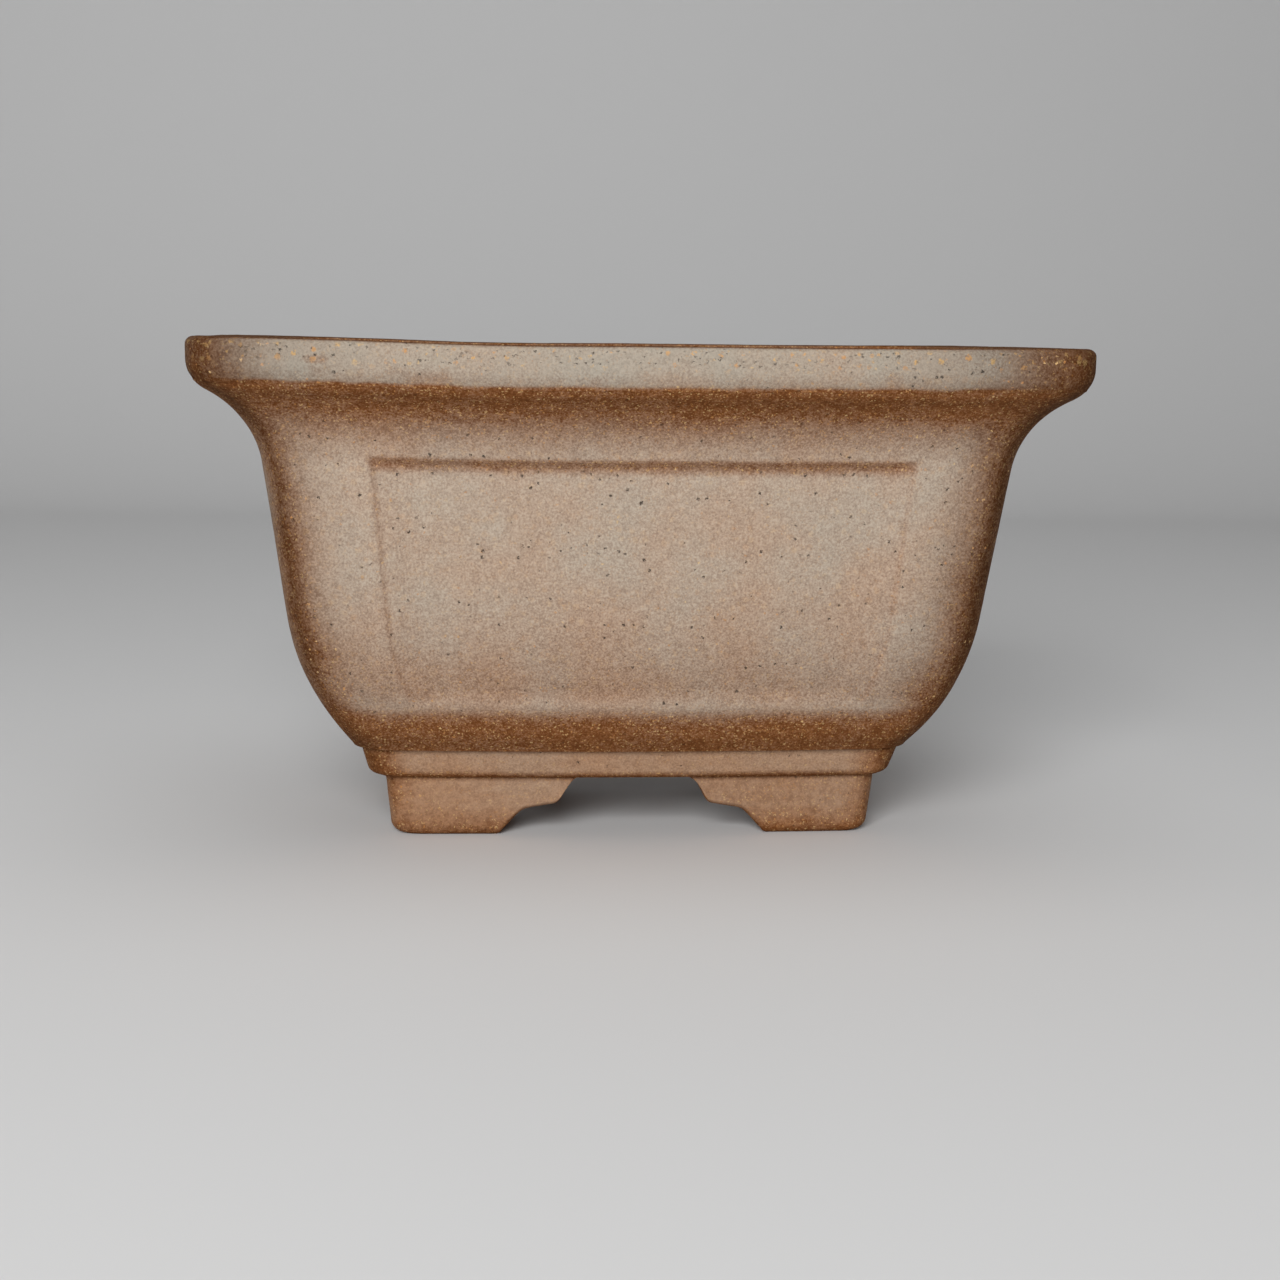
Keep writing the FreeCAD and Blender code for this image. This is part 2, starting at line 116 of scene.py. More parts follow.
def half_side(a, b, r, along, around):
    """Plan points from the middle of the side facing -Y to the middle of the corner at +X.

    a, b and r may be arrays; along and around are station positions from 0 to 1.
    """
    cx, cy, start, middle, _ = corner_of(a, b, r)
    turn = -math.pi / 2 + along * (start + math.pi / 2)
    side = np.stack([BOW * np.cos(turn), BOW - b + BOW * np.sin(turn)], -1)
    bend = start + around * (middle - start)
    corner = np.stack([cx + r * np.cos(bend), cy + r * np.sin(bend)], -1)
    return np.concatenate([side, corner])


def ring_points(inset, height, corner, along, around):
    """Grid of points round the whole pot: [perimeter, loop, xyz], and the four seam columns."""
    along, around = along[:, None], around[1:, None]
    columns, seams = [], []
    for turn in range(4):
        a, b = RIM_HALF_LENGTH - inset, RIM_HALF_WIDTH - inset
        if turn % 2:
            a, b = b, a
        right = half_side(a, b, corner, along, around)
        left = right[:0:-1] * (-1, 1)
        plan = np.concatenate([left, right])[:-1]
        angle = turn * math.pi / 2
        x = plan[..., 0] * math.cos(angle) - plan[..., 1] * math.sin(angle)
        y = plan[..., 0] * math.sin(angle) + plan[..., 1] * math.cos(angle)
        seams.append(sum(len(c) for c in columns))
        columns.append(np.stack([x, y, np.broadcast_to(height, x.shape)], -1))
    return np.concatenate(columns), seams


def unit(vectors):
    """The same directions with length 1."""
    return vectors / np.maximum(np.linalg.norm(vectors, axis=-1, keepdims=True), 1e-12)


def grid_normals(grid, joints=()):
    """Outward normals of a grid that closes on itself both ways.

    joints holds (row, side): there the normal is that of the visible side, not of the hidden
    joint face.
    """
    around = np.roll(grid, -1, 0) - np.roll(grid, 1, 0)
    over = np.roll(grid, -1, 1) - np.roll(grid, 1, 1)
    for row, side in joints:
        over[:, row] = (grid[:, row + side] - grid[:, row]) * side
    return unit(np.cross(around, over))


def open_normals(grid):
    """Normals of a grid that closes on itself round the loop but has two ends."""
    around = np.gradient(grid, axis=0)
    over = np.roll(grid, -1, 1) - np.roll(grid, 1, 1)
    return unit(np.cross(around, over))


# ---- hand-made unevenness ---------------------------------------------------------------------


def noise(points, cell, seed):
    """Smooth value noise from -1 to 1 on a lattice of the given cell size."""
    place = points / cell + seed * 17.3
    base = np.floor(place).astype(np.int64)
    part = place - base
    part = part * part * (3 - 2 * part)
    total = 0
    for dx in (0, 1):
        for dy in (0, 1):
            for dz in (0, 1):
                ix, iy, iz = base[..., 0] + dx, base[..., 1] + dy, base[..., 2] + dz
                mixed = (ix * 73856093) ^ (iy * 19349663) ^ (iz * 83492791) ^ (seed * 2654435)
                mixed = (mixed ^ (mixed >> 13)) * 1274126177
                value = ((mixed >> 7) & 65535) / 32767.5 - 1
                weight = 1
                for axis, step in enumerate((dx, dy, dz)):
                    share = part[..., axis]
                    weight = weight * (share if step else 1 - share)
                total = total + value * weight
    return total


def smooth(start, end, value):
    """Rises softly from 0 at start to 1 at end, or falls where end is the smaller."""
    share = np.clip((value - start) / (end - start), 0, 1)
    return share * share * (3 - 2 * share)


def swell(value, centre, width):
    """Bell curve: 1 at the centre."""
    return np.exp(-((value - centre) / width) ** 2)


# Layers of unevenness: cell size, seed and depth. The chip is low on the rim, close to its front
# left corner.

SKIN = 0.12 * MM
RELIEF = ((38 * MM, 3, 0.16 * MM), (11 * MM, 5, 0.07 * MM), (3.2 * MM, 7, 0.035 * MM))
CHIP = (-147.6 * MM, -89.5 * MM, 163.3 * MM)
CHIP_DEPTH = 1.5 * MM


def clay_relief(points):
    """How far the surface lies below the drawn form, in metres: never above it."""
    depth = SKIN
    for cell, seed, amount in RELIEF:
        depth = depth + amount * (1 + noise(points, cell, seed))
    from_chip = np.linalg.norm((points - CHIP) * (1, 0.5, 1), axis=-1)
    return depth + CHIP_DEPTH * smooth(2.0 * MM, 1.6 * MM, from_chip)


# ---- profiles ---------------------------------------------------------------------------------


def belly_inset(height):
    """Inset of the belly's arc at a height."""
    centre, level, radius = BELLY
    return centre - np.sqrt(radius ** 2 - (level - height) ** 2)


def arc(centre, first, last, count):
    """Insets and heights along an arc; angles in degrees, 0 pointing in from the rim face."""
    angles = np.radians(np.linspace(first, last, count))
    inset, height, radius = centre
    return np.stack([inset + radius * np.cos(angles), height + radius * np.sin(angles)], -1)


def wall_outside():
    """Insets and heights from the foot band up to the rim joint."""
    belly = arc(BELLY, 180 + BELLY_FOOT, 180 + BELLY_HEAD, 56)
    cove = arc(COVE, COVE_FOOT, COVE_HEAD, 34)
    straight = np.linspace(belly[-1], cove[0], 50)[1:-1]
    lip = arc(LIP, 180 + COVE_HEAD, 180 + LIP_JOINT, 8)[1:]
    return np.concatenate([belly, straight, cove, lip])


def wall_inside():
    """Insets and heights from the rim joint down to the floor."""
    down = wall_outside()[::-1][::3]
    inside = down[(down[:, 1] > FLOOR_TOP + 2 * MM) & (down[:, 1] < COVE[1] + 4 * MM)] + (WALL, 0)
    first = np.linspace((MOUTH, RIM_SEAT), inside[0], 8)[:-1]
    last = (belly_inset(FLOOR_TOP) + WALL, FLOOR_TOP)
    return np.concatenate([first, inside, [last]])


def from_corner(points, normals, inset):
    """Distance along the face from the pot's nearest upright edge."""
    facing_x = np.abs(normals[..., 0]) > np.abs(normals[..., 1])
    along = np.where(facing_x, np.abs(points[..., 1]), np.abs(points[..., 0]))
    return np.where(facing_x, RIM_HALF_WIDTH, RIM_HALF_LENGTH) - inset - along


def outside_inset(height):
    """Inset of the walls' outside at a height."""
    outline = wall_outside()
    return np.interp(height, outline[:, 1], outline[:, 0])


def wall_loop():
    """Closed loop round a wall: up the outside, over the rim joint and down the inside."""
    outside, inside = wall_outside(), wall_inside()
    seat = np.linspace(outside[-1], inside[0], 12)[1:-1]
    heel = [(FLOOR_INSET, FLOOR_TOP), (FLOOR_INSET, BAND_TOP)]
    return np.concatenate([outside, seat, inside, heel])


def row_at(loop, inset, height):
    """Row of a loop that lies at this inset and height."""
    return int(np.argmin(np.hypot(loop[:, 0] - inset, loop[:, 1] - height)))


def rim_loop():
    """From the joint up the rounded lower edge and the face, over the top and down inside."""
    low = arc(LIP, 180 + LIP_JOINT, 180, 11)
    outer = arc((RIM_EDGE, TOP - RIM_EDGE, RIM_EDGE), 180, 90, 8)
    inner = arc((MOUTH - RIM_EDGE, TOP - RIM_EDGE, RIM_EDGE), 90, 0, 8)
    face = np.linspace(low[-1], outer[0], 8)[1:-1]
    top = np.linspace(outer[-1], inner[0], 26)[1:-1]
    back = np.linspace(inner[-1], (MOUTH, RIM_SEAT), 14)[1:]
    seat = np.linspace((MOUTH, RIM_SEAT), low[0], 14)[1:-1]
    return np.concatenate([low, face, outer, top, inner, back, seat])


def rounded_box(outer, inner, low, high, rounds, step):
    """Closed loop round a straight-sided strip, with its four edges rounded.

    rounds are the radii of the lower outer, upper outer, upper inner and lower inner edges.
    """
    corners = ((outer, low, 1, 1), (outer, high, 1, -1), (inner, high, -1, -1), (inner, low, -1, 1))
    starts = (-90, 180, 90, 0)
    arcs = []
    for (inset, height, right, up), radius, start in zip(corners, rounds, starts):
        count = max(3, int(radius * math.pi / 2 / (step * 0.5)))
        angles = np.radians(start - np.linspace(0, 90, count))
        centre = np.array((inset + right * radius, height + up * radius))
        arcs.append(centre + radius * np.stack([np.cos(angles), np.sin(angles)], -1))
    loop = []
    for index, bend in enumerate(arcs):
        following = arcs[(index + 1) % 4][0]
        count = max(2, int(np.linalg.norm(following - bend[-1]) / step))
        loop += [bend, np.linspace(bend[-1], following, count + 1)[1:-1]]
    return np.concatenate(loop)


# ---- meshes -----------------------------------------------------------------------------------


def grid_piece(name, points, normals, marks):
    """Closed solid from a grid of points whose loop direction closes on itself.

    marks holds values for every point, by name, that the clay material reads.
    """
    count, loop = points.shape[:2]
    index = np.arange(count * loop).reshape(count, loop)
    following = np.roll(index, -1, 1)
    quads = np.stack([index[:-1], index[1:], following[1:], following[:-1]], -1).reshape(-1, 4)
    faces = quads.tolist() + [index[0].tolist(), index[-1][::-1].tolist()]
    mesh = bpy.data.meshes.new(name)
    mesh.from_pydata(points.reshape(-1, 3), [], faces)
    mesh.polygons.foreach_set("use_smooth", [True] * len(quads) + [False, False])
    for mark, values in marks.items():
        layer = mesh.attributes.new(mark, "FLOAT", "POINT")
        layer.data.foreach_set("value", np.ascontiguousarray(values, np.float32).ravel())
    mesh.normals_split_custom_set_from_vertices(normals.reshape(-1, 3).tolist())
    piece = bpy.data.objects.new(name, mesh)
    bpy.context.scene.collection.objects.link(piece)
    return piece


SAG = 1.3 * MM
RIM_DIP = 0.5 * MM
BELLY_LEAN = 0.5 * MM
RIM_LEAN = -0.3 * MM
FOOT_LEAN = 0.8 * MM


def warp(points):
    """Unevenness from the firing, kept inside the CAD model's box.

    The long sides hang a little between the corners, the rim dips once more left of the middle,
    and the belly, rim and feet have shifted sideways.
    """
    x, z = points[..., 0], points[..., 2]
    across = np.clip(x / RIM_HALF_LENGTH, -1, 1)
    sag = SAG * np.clip(z / BAND_TOP, 0, 1) * (1 - across ** 2)
    dip = RIM_DIP * smooth(120 * MM, 160 * MM, z) * swell(x, -48 * MM, 34 * MM)
    lean = BELLY_LEAN * swell(z, 48 * MM, 14 * MM)
    lean = lean + RIM_LEAN * smooth(140 * MM, 158 * MM, z) + FOOT_LEAN * smooth(26 * MM, 20 * MM, z)
    moved = points + np.stack([lean, 0 * z, -sag - dip], -1)
    lowest, highest = CAD_BOX
    return np.clip(moved, lowest, highest)


def roughen(points, normals):
    """Adds the hand-made relief, keeping every joint face in its plane, and the warp."""
    moved = points - normals * clay_relief(points)[..., None]
    for level in JOINTS:
        on_joint = np.abs(points[..., 2] - level) < 0.01 * MM
        moved[..., 2] = np.where(on_joint, level, moved[..., 2])
    return warp(moved)


SIDES = ("front", "right", "back", "left")


def ring_pieces(names, loop, corner, along, around, slot, marks_of, shape=None, joints=()):
    """Four mitred pieces from one closed loop carried round the pot."""
    points, seams = ring_points(loop[:, 0], loop[:, 1], corner, along, around)
    if shape:
        points = shape(points)
    normals = grid_normals(points, joints)
    marks = marks_of(points, normals)
    points = roughen(points, normals)
    normals = grid_normals(points, joints)
    for side, start in enumerate(seams):
        end = seams[side + 1] if side < 3 else len(points)
        columns = np.arange(start, end + 1) % len(points)
        name = names[side]
        own = {mark: values[columns] for mark, values in marks.items()}
        piece = grid_piece("clay_" + name, points[columns], normals[columns], own)
        declare(piece, name, slot)


def declare(piece, node, slot):
    """Puts a piece under the root, hides the CAD node it stands in for and gives it the slot's
    material.
    """
    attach(piece, "root")
    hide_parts(node)
    piece.data.materials.append(MATERIALS[slot])


# ---- clay -------------------------------------------------------------------------------------


class Nodes:
    """Short way to write a node tree."""

    def __init__(self, material):
        material.use_nodes = True
        self.tree = material.node_tree
        self.tree.nodes.clear()

    def add(self, kind, inputs=None, **settings):
        """New node; an input is a value or another node's output."""
        made = self.tree.nodes.new("ShaderNode" + kind)
        for name, value in settings.items():
            setattr(made, name, value)
        for key, value in (inputs or {}).items():
            socket = made.inputs[key]
            if isinstance(value, bpy.types.NodeSocket):
                self.tree.links.new(value, socket)
            else:
                socket.default_value = value
        return made

    def math(self, operation, first, second=0.0, clamp=False):
        """Sum, product or other operation on two values."""
        made = self.add("Math", {0: first, 1: second}, operation=operation, use_clamp=clamp)
        return made.outputs[0]

    def mix(self, share, first, second):
        """Colour between two colours."""
        made = self.add("Mix", {0: share, 6: first, 7: second}, data_type="RGBA")
        return made.outputs[2]

    def ramp(self, value, low, high, to_low=0.0, to_high=1.0):
        """Softly stretches low..high to to_low..to_high."""
        limits = {0: value, 1: low, 2: high, 3: to_low, 4: to_high}
        made = self.add("MapRange", limits, interpolation_type="SMOOTHSTEP")
        return made.outputs[0]


# Colours of the clay. Where there are two, the clay varies between them.

RAW = (0.215, 0.082, 0.026, 1)
DARK_RAW = (0.140, 0.048, 0.014, 1)
FLECK = (0.42, 0.19, 0.060, 1)
PALE_FLECK = (0.58, 0.39, 0.18, 1)
CHIPPED = ((0.46, 0.22, 0.075, 1), (0.52, 0.33, 0.13, 1))
PIN = (0.025, 0.02, 0.016, 1)
# The pale colours below are painted sheen: the greyish veil that light gives faces turned to the
# lamp. Their patchy mix is the clay's own.
SHEEN_COLOURS = ((0.392, 0.296, 0.222, 1), (0.362, 0.304, 0.243, 1))
GREY_SHEEN_COLOURS = ((0.334, 0.262, 0.200, 1), (0.308, 0.270, 0.220, 1))
WARM_SHEEN_COLOURS = ((0.395, 0.258, 0.168, 1), (0.375, 0.268, 0.188, 1))


class Clay(Nodes):
    """Unglazed grogged stoneware: brown body, painted sheen and shade, orange grains and pinholes.

    flecked is the share of places that carry a large grain, the next argument the pale colours of
    the painted sheen, and sandy how uneven the colour is from grain to grain.
    """

    def __init__(self, name, flecked, sheen_colours, sandy):
        material = bpy.data.materials.new(name)
        super().__init__(material)
        self.material = material
        self.place = self.add("TexCoord").outputs["Object"]
        self.tone = self.mark("tone")
        self.wear = self.mark("wear")
        # Painted shade: the mesh says how much the clay's colour is darkened where shade falls.
        self.light = self.math("SUBTRACT", 1.0, self.mark("dark"))
        self.patches = self.noise(38.0, 3.0)
        self.mottle = self.noise(330.0, 4.0, 0.65)
        self.grain = self.noise(1300.0, 3.0, 0.7)
        self.bent = self.bend()
        colour = self.ground(sheen_colours, sandy)
        colour, flecks = self.add_flecks(colour, flecked)
        colour, pins = self.add_pins(colour, 2 * flecked)
        # Brightness from grain to grain, darkened by the painted shade; large flecks keep part of
        # their brightness in it.
        shade = self.ramp(self.grain, 0.25, 0.75, 1 - sandy, 1 + sandy)
        lit = self.math("ADD", self.light, self.math("MULTIPLY", flecks, 0.6), clamp=True)
        shade = self.math("MULTIPLY", shade, lit)
        colour = self.add("HueSaturation", {"Color": colour, "Value": shade}).outputs[0]
        self.finish(colour, flecks, pins)

    def mark(self, name):
        """Value that the mesh carries at every point."""
        return self.add("Attribute", attribute_name=name, attribute_type="GEOMETRY").outputs["Fac"]

    def noise(self, scale, detail, roughness=0.5, output="Fac"):
        """Cloudy pattern fixed to the pot."""
        settings = {"Vector": self.place, "Scale": scale, "Detail": detail, "Roughness": roughness}
        return self.add("TexNoise", settings).outputs[output]

    def bend(self):
        """Object coordinates with a fine jitter, so that spots come out irregular."""
        centred = {0: self.noise(1500.0, 2.0, output="Color"), 1: (0.5, 0.5, 0.5)}
        jitter = self.add("VectorMath", centred, operation="SUBTRACT").outputs[0]
        jitter = self.add("VectorMath", {0: jitter, "Scale": 1.7 * MM}, operation="SCALE").outputs[0]
        return self.add("VectorMath", {0: self.place, 1: jitter}).outputs[0]

    def spots(self, cell, share, small, large, stretch=(1, 1, 1)):
        """Irregular spots: one in each lattice cell with the given chance; radii in cells."""
        place = self.add("VectorMath", {0: self.bent, 1: stretch}, operation="MULTIPLY").outputs[0]
        cells = self.add("TexVoronoi", {"Vector": place, "Scale": 1 / cell}, feature="F1")
        picks = self.add("SeparateColor", {0: cells.outputs["Color"]})
        radius = self.ramp(picks.outputs[1], 0, 1, small, large)
        gap = self.math("SUBTRACT", radius, cells.outputs["Distance"])
        spot = self.math("MULTIPLY", gap, 10.0, clamp=True)
        chosen = self.math("LESS_THAN", picks.outputs[0], share)
        return self.math("MULTIPLY", spot, chosen), picks.outputs[2]

    def ground(self, sheen_colours, sandy):
        """Brown body with the pale painted sheen over it as far as the mesh says, uneven at three
        sizes.
        """
        uneven = self.math("ADD", self.ramp(self.patches, 0.3, 0.7, -0.05, 0.05),
                           self.ramp(self.mottle, 0.3, 0.7, -0.08, 0.08))
        uneven = self.math("ADD", uneven, self.ramp(self.grain, 0.3, 0.7, -sandy, sandy))
        share = self.math("ADD", self.tone, uneven, clamp=True)
        sand = self.math("MULTIPLY", self.math("ADD", self.mottle, self.grain), 0.5)
        raw = self.mix(self.ramp(sand, 0.4, 0.6), DARK_RAW, RAW)
        pale = self.mix(self.ramp(self.patches, 0.25, 0.75), *sheen_colours)
        return self.mix(share, raw, pale)

    def add_flecks(self, colour, flecked):
        """Fine sand everywhere, mostly in the brown clay; larger orange grains, most where worn."""
        grains, hue = self.spots(0.9 * MM, 0.7, 0.15, 0.46)
        sand = self.mix(self.ramp(hue, 0, 1), FLECK, PALE_FLECK)
        grains = self.math("MULTIPLY", grains, self.ramp(self.light, 0.2, 0.8, 0.6, 1))
        shown = self.math("MULTIPLY", grains, self.ramp(self.tone, 0.05, 0.8, 0.72, 0.14))
        colour = self.mix(shown, colour, sand)
        flecks, hue = self.spots(2.3 * MM, flecked, 0.06, 0.24)
        orange = self.mix(self.ramp(hue, 0.2, 1), FLECK, PALE_FLECK)
        flecks = self.math("MULTIPLY", flecks, self.ramp(self.light, 0.2, 0.7, 0.8, 1))
        shown = self.math("MULTIPLY", flecks, self.ramp(self.tone, 0.1, 0.9, 0.9, 0.5))
        colour = self.mix(shown, colour, orange)
        blots, hue = self.spots(3.2 * MM, 1.0, 0.16, 0.40)
        blots = self.math("MULTIPLY", blots, self.ramp(self.grain, 0.38, 0.52, 0.25, 1))
        shown = self.math("MULTIPLY", blots, self.math("MULTIPLY", self.wear, 0.8))
        return self.mix(shown, colour, self.mix(hue, *CHIPPED)), flecks

    def add_pins(self, colour, pinned):
        """Black pinholes, and larger pits where the surface is worn."""
        small, _ = self.spots(3.3 * MM, pinned, 0.06, 0.19)
        pits, _ = self.spots(1.9 * MM, 0.9, 0.08, 0.29, (0.75, 0.75, 1.4))
        worn = self.ramp(self.wear, 0.3, 0.9)
        worn = self.math("MULTIPLY", worn, self.ramp(self.patches, 0.4, 0.6, 0.4, 0.85))
        pins = self.math("MAXIMUM", small, self.math("MULTIPLY", pits, worn))
        shown = self.math("MULTIPLY", pins, self.ramp(self.tone, 0.2, 0.7, 0.3, 0.85))
        return self.mix(shown, colour, PIN), pins

    def finish(self, colour, flecks, pins):
        """Matt surface with fine grain, raised flecks and sunk pins."""
        rise = self.math("ADD", self.math("MULTIPLY", self.grain, 0.17 * MM),
                         self.math("MULTIPLY", self.mottle, 0.36 * MM))
        rise = self.math("ADD", rise, self.math("MULTIPLY", flecks, 0.05 * MM))
        rise = self.math("SUBTRACT", rise, self.math("MULTIPLY", pins, 0.35 * MM))
        bump = self.add("Bump", {"Height": rise, "Strength": 0.8, "Distance": 1.0}).outputs[0]
        rough = self.ramp(self.mottle, 0.3, 0.7, 0.74, 0.92)
        skin = {"Base Color": colour, "Roughness": rough, "Normal": bump,
                "Specular IOR Level": 0.05}
        shader = self.add("BsdfPrincipled", skin)
        self.add("OutputMaterial", {"Surface": shader.outputs[0]})


MATERIALS = {
    "wall_clay": Clay("wall_clay", 0.36, SHEEN_COLOURS, 0.15).material,
    "rim_clay": Clay("rim_clay", 0.42, GREY_SHEEN_COLOURS, 0.14).material,
    "band_clay": Clay("band_clay", 0.12, WARM_SHEEN_COLOURS, 0.09).material,
    "foot_clay": Clay("foot_clay", 0.08, WARM_SHEEN_COLOURS, 0.06).material,
    "floor_clay": Clay("floor_clay", 0.26, WARM_SHEEN_COLOURS, 0.11).material,
}


# ---- sunk panels ------------------------------------------------------------------------------


def outward(points, normals):
    """1 where the surface faces away from the pot's middle, 0 inside the pot."""
    return smooth(-0.1, 0.1, points[..., 0] * normals[..., 0] + points[..., 1] * normals[..., 1])


PANEL_TOP = 138.2 * MM
PANEL_BOTTOM = 53 * MM
PANEL_MARGIN_LOW = 34 * MM
PANEL_MARGIN_HIGH = 38 * MM
PANEL_DEPTH = 2.2 * MM


def from_panel_edge(points, normals):
    """Distances inside the sunk panel from its end edges, its top and its bottom."""
    x, y, z = points[..., 0], points[..., 1], points[..., 2]
    share = (z - PANEL_BOTTOM) / (PANEL_TOP - PANEL_BOTTOM)
    margin = PANEL_MARGIN_LOW + (PANEL_MARGIN_HIGH - PANEL_MARGIN_LOW) * share
    return from_corner(points, normals, outside_inset(z)) - margin, PANEL_TOP - z, z - PANEL_BOTTOM


def panel_depth(points, normals):
    """Depth of the sunk panel under each outside point of the walls."""
    end, top, bottom = from_panel_edge(points, normals)
    crisp, soft = smooth(-0.6 * MM, 1.4 * MM, end), smooth(-3 * MM, 14 * MM, end)
    depth = PANEL_DEPTH * (0.3 * crisp + 0.7 * soft)
    depth = np.minimum(depth, PANEL_DEPTH * smooth(-1.2 * MM, 2.8 * MM, top))
    depth = np.minimum(depth, PANEL_DEPTH * smooth(-1 * MM, 5.4 * MM, bottom))
    return depth * outward(points, normals)


def sink_panels(points):
    """The walls' points with the sunk panels pressed in."""
    normals = grid_normals(points)
    return points - normals * panel_depth(points, normals)[..., None]


# ---- marks that the clay material reads -------------------------------------------------------
#
# painted sheen: 0 raw brown clay, 1 the pale sheen of faces turned to the lamp
# painted shade: 0 to 1, how much the clay's colour is darkened for shade
# wear: 0 to 1, how thick the chips and pits lie
#
# In the tables, heights and distances are in millimetres.


# Painted sheen on the walls by height: brown painted shade low on the belly and under the rim, a
# painted highlight on the up-facing ledge below the panel, and paler upwards on the face.
WALL_PAINTED_SHEEN = ((43, 0), (46, 0.06), (49, 0.24), (52, 0.73), (54, 0.75), (57, 0.58), (64, 0.62),
             (80, 0.76), (100, 0.88), (136, 0.90), (143, 0.68), (150, 0.36), (155, 0.07), (160, 0))
# Painted light kept at distances from the upright edges, in the pot's left and right halves: painted
# shade at the edges, reaching further in on the right.
WALL_PAINTED_LIGHT_LEFT = ((2, 0.30), (6, 0.50), (11, 0.78), (19, 0.90), (32, 1))
WALL_PAINTED_LIGHT_RIGHT = ((2, 0.34), (6, 0.40), (10, 0.60), (16, 0.76), (32, 1))
# Painted light kept at distances from the rim's corners, in its left and right halves: painted shade
# at the corners, reaching further in on the right.
RIM_PAINTED_LIGHT_LEFT = ((3, 0.37), (12, 0.52), (21, 0.64), (36, 0.86), (70, 1))
RIM_PAINTED_LIGHT_RIGHT = ((3, 0.37), (12, 0.50), (21, 0.58), (36, 0.73), (80, 1))
# Painted sheen on the band and feet by height: brown painted shade at the soles, in the crease
# between band and feet, and where the band meets the belly.
LOW_PAINTED_SHEEN = ((0, 0.05), (2, 0.22), (6, 0.42), (12, 0.70), (21, 0.76), (22.6, 0.36), (23.4, -0.1),
            (24.6, 0.24), (26.5, 0.74), (33.6, 0.76), (34.6, 0.6), (35, 0.3))


def table(distance, pairs):
    """Value from (millimetres, value) pairs, straight between them."""
    places, values = zip(*pairs)
    return np.interp(distance / MM, places, values)


def by_side(points, left, right):
    """One value for the pot's left half and another for its right half."""
    return np.where(points[..., 0] > 0, right, left)


def ellipse(points, centre, radii):
    """1 inside an upright ellipse on the long faces, fading out at its edge."""
    x = (points[..., 0] - centre[0]) / radii[0]
    z = (points[..., 2] - centre[1]) / radii[1]
    return smooth(1.25, 0.75, np.hypot(x, z))


def panel_lines(points, normals):
    """Where the panel's edges show: painted shadow along its top edge, painted shade along its ends,
    and a painted highlight on the frame next to them.
    """
    end, top, bottom = from_panel_edge(points, normals)
    within = smooth(-2.5 * MM, 2.5 * MM, end)
    groove_shadow = smooth(-2.2 * MM, 0, top) * smooth(5.0 * MM, 1.6 * MM, top) * within
    ends = smooth(-1.2 * MM, 0.3 * MM, end) * smooth(2.6 * MM, 0.8 * MM, end)
    ends = ends * smooth(-2 * MM, 2 * MM, top) * smooth(-2 * MM, 2 * MM, bottom)
    frame_highlight = smooth(-8 * MM, -4 * MM, end) * smooth(0, -3 * MM, end) * smooth(0, 9 * MM, bottom)
    return groove_shadow, ends, frame_highlight


def wall_painted_light(points, gap):
    """Painted light that the clay keeps: painted shade is deepest at the upright edges, softer on
    the belly, and also falls on the belly's lowest part.
    """
    z = points[..., 2]
    light = by_side(points, table(gap, WALL_PAINTED_LIGHT_LEFT), table(gap, WALL_PAINTED_LIGHT_RIGHT))
    light = 1 - (1 - light) * (1 - 0.45 * smooth(75 * MM, 45 * MM, z))
    return light * (1 - 0.2 * smooth(44 * MM, 37 * MM, z))


def wall_marks(points, normals):
    """Painted sheen on the faces and a painted highlight on the ledge below the panel; brown
    painted shade under the rim, low on the belly, at the upright edges and inside.
    """
    z = points[..., 2]
    gap = from_corner(points, normals, outside_inset(z)) + 1.8 * MM * noise(points, 13 * MM, 11)
    # Painted shade: less sheen towards the upright edges, over a wider band on the right.
    corner = smooth(3 * MM, by_side(points, 21 * MM, 29 * MM), gap)
    groove_shadow, ends, frame_highlight = panel_lines(points, normals)
    faint = 0.11 * smooth(-0.6, 0.6, noise(points, 22 * MM, 29))
    level = table(z, WALL_PAINTED_SHEEN)
    # Painted shadow along the panel's top edge and painted shade along its ends take sheen away; a
    # painted highlight on the frame next to the ends adds some.
    tone = level * (0.02 + 0.98 * corner) * (1 - 0.66 * groove_shadow) * (1 - faint * ends)
    tone = tone + 0.14 * frame_highlight * corner * smooth(-0.2, 0.6, noise(points, 30 * MM, 23))
    # Inside the pot there is no painted sheen: the raw brown stands for the shade there.
    out = outward(points, normals)
    return {"tone": tone * out, "dark": (1 - wall_painted_light(points, gap)) * out, "wear": 0.2 * level}


def rim_painted_sheen(points):
    """Painted sheen on the rim's face: a crisp, wavy lower limit where the lower edge turns under
    into painted shade, then a little paler upwards as painted light from above.
    """
    z = points[..., 2]
    wavy = z + 0.4 * MM * noise(points, 6 * MM, 13)
    limit = smooth(RIM_SEAT + 0.1 * MM, RIM_SEAT + 1.7 * MM, wavy)
    return limit * (0.80 + 0.20 * smooth(RIM_SEAT + 2 * MM, RIM_SEAT + 7 * MM, z))


